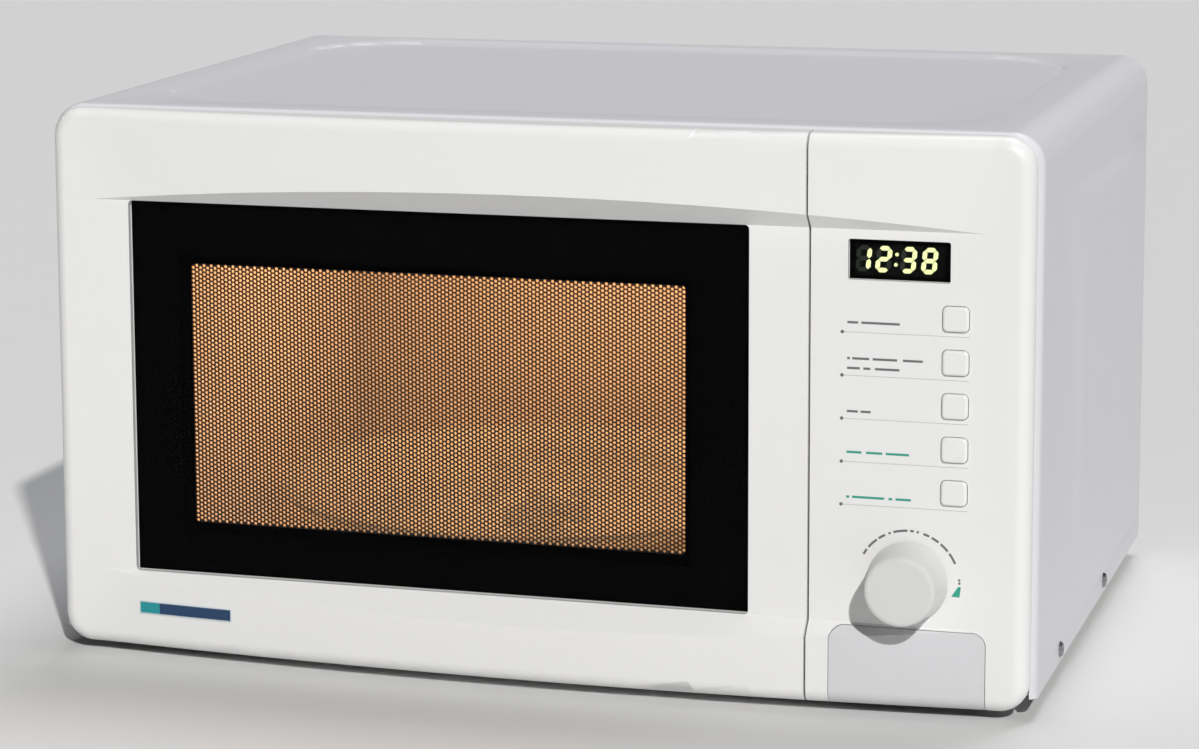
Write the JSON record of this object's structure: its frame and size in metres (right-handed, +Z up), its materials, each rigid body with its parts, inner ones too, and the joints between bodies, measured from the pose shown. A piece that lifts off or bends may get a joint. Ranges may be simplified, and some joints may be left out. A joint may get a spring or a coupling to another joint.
{
  "type": "microwave oven",
  "caption": "Countertop microwave oven with a side-hinged glass door, push-button door release, digital control panel, glass turntable and working inner parts.",
  "frame": {"origin": "middle of the footprint on the surface the feet stand on", "axes": "+Z up, +X to the user's right, +Y from the door to the back"},
  "size_m": [0.4556, 0.341, 0.2525],
  "materials": {
    "white_moulding": "satin white moulded plastic",
    "white_knob": "smooth white moulded plastic",
    "white_keys": "smooth white moulded plastic",
    "grey_key": "smooth pale grey moulded plastic",
    "badge": "glossy coloured plastic",
    "door_glass": "toughened glass with a black border",
    "display_glass": "dark tinted window",
    "clear_film": "clear film",
    "cabinet_paint": "fine pale grey powder paint",
    "cavity_paint": "smooth enamel",
    "door_frame_paint": "smooth enamel",
    "screen_paint": "black enamel on punched steel",
    "choke_plastic": "fine grained dark grey plastic",
    "zinc_steel": "zinc coated sheet steel",
    "screw_steel": "dark zinc plated steel",
    "spring_steel": "bright spring wire",
    "shaft_steel": "turned steel",
    "latch_plastic": "natural acetal plastic",
    "switch_plastic": "moulded switch housings",
    "foot_rubber": "matt black rubber",
    "black_plastic": "matt black plastic",
    "mica": "pressed mica sheet",
    "magnetron_metal": "cooling fins and steel case",
    "cutout_body": "phenolic switch bodies",
    "core_iron": "varnished laminated iron",
    "winding_copper": "varnished copper wire",
    "capacitor_can": "drawn can",
    "diode_body": "moulded diode",
    "circuit_board": "board with its components",
    "motor_steel": "laminated steel motor",
    "lamp_glass": "clear warm bulb",
    "tray_glass": "clear pressed glass",
    "roller_plastic": "natural white plastic",
    "display_body": "display module",
    "encoder_body": "rotary encoder"
  },
  "bodies": {
    "root": {"outer_cabinet": "cabinet_paint", "base_plate": "zinc_steel", "rear_panel": "zinc_steel", "front_plate": "cavity_paint", "cavity_wrap": "cavity_paint", "cavity_floor": "cavity_paint", "cavity_ceiling": "cavity_paint", "waveguide_cover": "mica", "waveguide": "zinc_steel", "magnetron": "magnetron_metal", "thermal_cutouts": "cutout_body", "transformer_core": "core_iron", "transformer_windings": "winding_copper", "hv_capacitor": "capacitor_can", "capacitor_clamp": "zinc_steel", "hv_diode": "diode_body", "filter_board": "circuit_board", "fan_shroud": "zinc_steel", "fan_motor": "motor_steel", "cavity_lamp": "lamp_glass", "lamp_holder": "black_plastic", "turntable_motor": "motor_steel", "hinge_arms": "zinc_steel", "control_panel": "white_moulding", "display_window": "display_glass", "display_module": "display_body", "control_board": "circuit_board", "knob_encoder": "encoder_body", "feet": "foot_rubber", "cabinet_screws": "screw_steel", "cord_gland": "black_plastic", "latch_bracket": "latch_plastic", "interlock_switches": "switch_plastic"},
    "door": {"door_moulding": "white_moulding", "door_glass": "door_glass", "door_choke_frame": "door_frame_paint", "perforated_screen": "screen_paint", "inner_film": "clear_film", "choke_cover": "choke_plastic", "door_screws": "screw_steel", "badge_plate": "badge", "latch_spring": "spring_steel"},
    "latch": {"latch_hooks": "latch_plastic"},
    "release_button": {"release_button": "grey_key"},
    "release_lever": {"release_lever": "latch_plastic"},
    "power_button": {"power_button": "white_keys"},
    "defrost_button": {"defrost_button": "white_keys"},
    "clock_button": {"clock_button": "white_keys"},
    "stop_button": {"stop_button": "white_keys"},
    "start_button": {"start_button": "white_keys"},
    "knob": {"knob": "white_knob", "encoder_shaft": "shaft_steel"},
    "turntable": {"drive_coupler": "black_plastic", "glass_tray": "tray_glass"},
    "roller_ring": {"roller_ring": "roller_plastic"},
    "roller_1": {"roller_1": "roller_plastic"},
    "roller_2": {"roller_2": "roller_plastic"},
    "roller_3": {"roller_3": "roller_plastic"},
    "fan": {"fan_blade": "black_plastic"}
  },
  "joints": [
    {"name": "door_swing", "type": "hinge", "parent": "root", "child": "door", "pos_m": [-0.216, -0.1452, 0.1255], "axis": [0, 0, -1], "range_deg": [0, 105]},
    {"name": "release_press", "type": "slide", "parent": "root", "child": "release_button", "axis": [0, 1, 0], "range_m": [0, 0.004], "stiffness_N_per_m": 1500},
    {"name": "release_lever_turn", "type": "hinge", "parent": "root", "child": "release_lever", "pos_m": [0.15, -0.112, 0.0405], "axis": [1, 0, 0], "range_deg": [0, 12.8]},
    {"name": "latch_lift", "type": "slide", "parent": "door", "child": "latch", "axis": [0, 0, 1], "range_m": [0, 0.0032], "deforming": ["latch_spring"]},
    {"name": "power_press", "type": "slide", "parent": "root", "child": "power_button", "axis": [0, 1, 0], "range_m": [0, 0.0012], "stiffness_N_per_m": 400},
    {"name": "defrost_press", "type": "slide", "parent": "root", "child": "defrost_button", "axis": [0, 1, 0], "range_m": [0, 0.0012], "stiffness_N_per_m": 400},
    {"name": "clock_press", "type": "slide", "parent": "root", "child": "clock_button", "axis": [0, 1, 0], "range_m": [0, 0.0012], "stiffness_N_per_m": 400},
    {"name": "stop_press", "type": "slide", "parent": "root", "child": "stop_button", "axis": [0, 1, 0], "range_m": [0, 0.0012], "stiffness_N_per_m": 400},
    {"name": "start_press", "type": "slide", "parent": "root", "child": "start_button", "axis": [0, 1, 0], "range_m": [0, 0.0012], "stiffness_N_per_m": 400},
    {"name": "knob_turn", "type": "hinge", "parent": "root", "child": "knob", "pos_m": [0.171, -0.16, 0.0598], "axis": [0, 1, 0], "continuous": true},
    {"name": "turntable_spin", "type": "hinge", "parent": "root", "child": "turntable", "pos_m": [-0.042, 0.015, 0.0405], "axis": [0, 0, 1], "continuous": true},
    {"name": "roller_ring_spin", "type": "hinge", "parent": "root", "child": "roller_ring", "pos_m": [-0.042, 0.015, 0.0378], "axis": [0, 0, 1], "continuous": true},
    {"name": "roller_1_spin", "type": "hinge", "parent": "roller_ring", "child": "roller_1", "pos_m": [0.054, 0.015, 0.0378], "axis": [1, 0, 0], "continuous": true},
    {"name": "roller_2_spin", "type": "hinge", "parent": "roller_ring", "child": "roller_2", "pos_m": [-0.09, 0.09814, 0.0378], "axis": [-0.5, 0.866, 0], "continuous": true},
    {"name": "roller_3_spin", "type": "hinge", "parent": "roller_ring", "child": "roller_3", "pos_m": [-0.09, -0.06814, 0.0378], "axis": [-0.5, -0.866, 0], "continuous": true},
    {"name": "fan_spin", "type": "hinge", "parent": "root", "child": "fan", "pos_m": [0.165, 0.144, 0.1785], "axis": [0, 1, 0], "continuous": true}
  ],
  "couplings": [
    {"joint": "release_lever_turn", "follows": "release_press", "rad_per_m": 55.56},
    {"joint": "latch_lift", "follows": "release_press", "ratio": 0.8},
    {"joint": "roller_ring_spin", "follows": "turntable_spin", "ratio": 0.5},
    {"joint": "roller_1_spin", "follows": "turntable_spin", "ratio": -6.8571},
    {"joint": "roller_2_spin", "follows": "turntable_spin", "ratio": -6.8571},
    {"joint": "roller_3_spin", "follows": "turntable_spin", "ratio": -6.8571}
  ]
}
